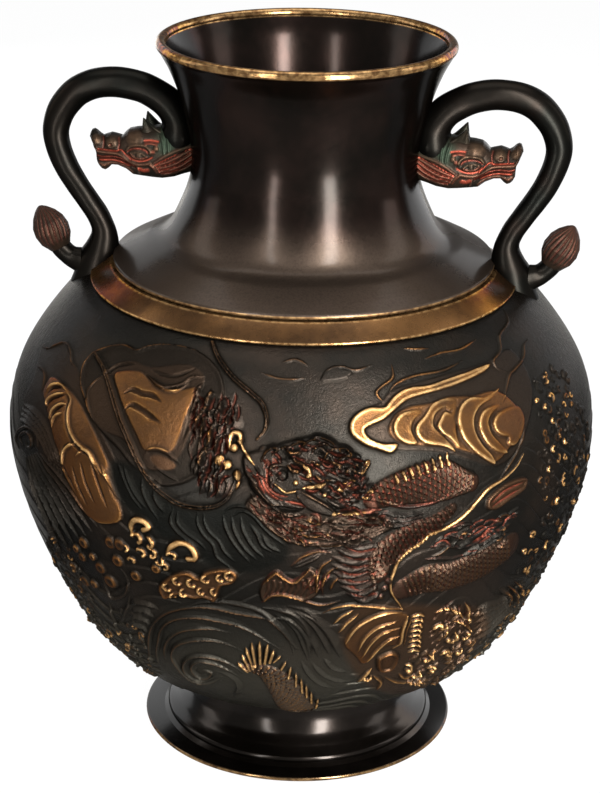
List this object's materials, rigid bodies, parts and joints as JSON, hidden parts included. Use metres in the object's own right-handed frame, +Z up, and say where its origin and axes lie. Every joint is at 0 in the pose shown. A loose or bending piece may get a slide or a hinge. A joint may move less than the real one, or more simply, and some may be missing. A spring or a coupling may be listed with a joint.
{
  "type": "two-handled bronze urn",
  "caption": "Cast bronze urn: bulging body on a spreading foot, flaring neck on a sloping shoulder band, and two serpent handles with dragon heads and bud finials.",
  "frame": {"origin": "middle of the flat face that the foot stands on", "axes": "+Z up along the urn's axis, +X towards the right handle seen from the front, -Y towards the viewer"},
  "size_m": [0.3248, 0.3306, 0.4],
  "materials": {
    "foot_bronze": "polished dark brown patina, worn to gold at the edge",
    "relief_bronze": "black-brown patina on low relief, worn to gold on the crests, red in the hollows",
    "inner_bronze": "dull dark cast face",
    "worn_bronze": "satin brown, worn to gold along the lower edge",
    "neck_bronze": "polished dark reddish-brown patina",
    "handle_bronze": "semi-gloss black-brown patina with green in the joints",
    "ornament_bronze": "dark patina with red pigment in the cut lines",
    "rivet_bronze": "dull brown"
  },
  "bodies": {
    "root": {"foot_ring": "foot_bronze", "body_shell": "relief_bronze", "base_plate": "inner_bronze", "shoulder_band": "worn_bronze", "neck_slope": "neck_bronze", "neck_and_mouth": "neck_bronze", "handle_arm_right": "handle_bronze", "dragon_head_right": "ornament_bronze", "tail_tuft_right": "ornament_bronze", "neck_rivet_right": "rivet_bronze", "shoulder_rivet_right": "rivet_bronze", "handle_arm_left": "handle_bronze", "dragon_head_left": "ornament_bronze", "tail_tuft_left": "ornament_bronze", "neck_rivet_left": "rivet_bronze", "shoulder_rivet_left": "rivet_bronze"}
  },
  "joints": []
}
